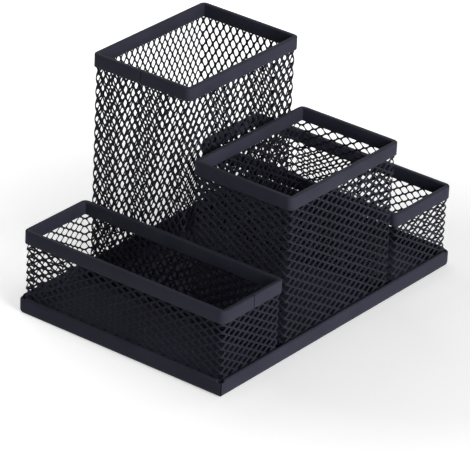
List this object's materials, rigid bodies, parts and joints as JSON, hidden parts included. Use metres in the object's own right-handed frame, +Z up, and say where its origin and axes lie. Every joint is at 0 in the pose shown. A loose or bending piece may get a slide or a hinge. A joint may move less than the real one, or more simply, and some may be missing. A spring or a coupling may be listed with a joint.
{
  "type": "mesh desk organizer",
  "caption": "Desk organizer of black expanded-metal mesh: low side trays, a middle bin and a tall pen cup with folded rims, standing on a shallow folded steel base.",
  "frame": {"origin": "on the desk surface, under the middle of the base pan's footprint", "axes": "+X along the organizer's long side, its front with the middle bin facing -Y, +Z up"},
  "size_m": [0.1524, 0.1036, 0.1],
  "materials": {
    "base_coat": "satin black powder coat on folded sheet steel",
    "rim_coat": "satin black powder coat on a folded steel strip",
    "mesh_coat": "black powder coat on expanded steel mesh"
  },
  "bodies": {
    "root": {"base_pan": "base_coat", "left_tray_rim": "rim_coat", "left_tray_mesh_front": "mesh_coat", "left_tray_mesh_right": "mesh_coat", "left_tray_mesh_back": "mesh_coat", "left_tray_mesh_left": "mesh_coat", "middle_bin_rim": "rim_coat", "middle_bin_mesh_front": "mesh_coat", "middle_bin_mesh_right": "mesh_coat", "middle_bin_mesh_back": "mesh_coat", "middle_bin_mesh_left": "mesh_coat", "pen_cup_rim": "rim_coat", "pen_cup_mesh_front": "mesh_coat", "pen_cup_mesh_right": "mesh_coat", "pen_cup_mesh_back": "mesh_coat", "pen_cup_mesh_left": "mesh_coat", "right_tray_rim": "rim_coat", "right_tray_mesh_front": "mesh_coat", "right_tray_mesh_right": "mesh_coat", "right_tray_mesh_back": "mesh_coat", "right_tray_mesh_left": "mesh_coat"}
  },
  "joints": []
}
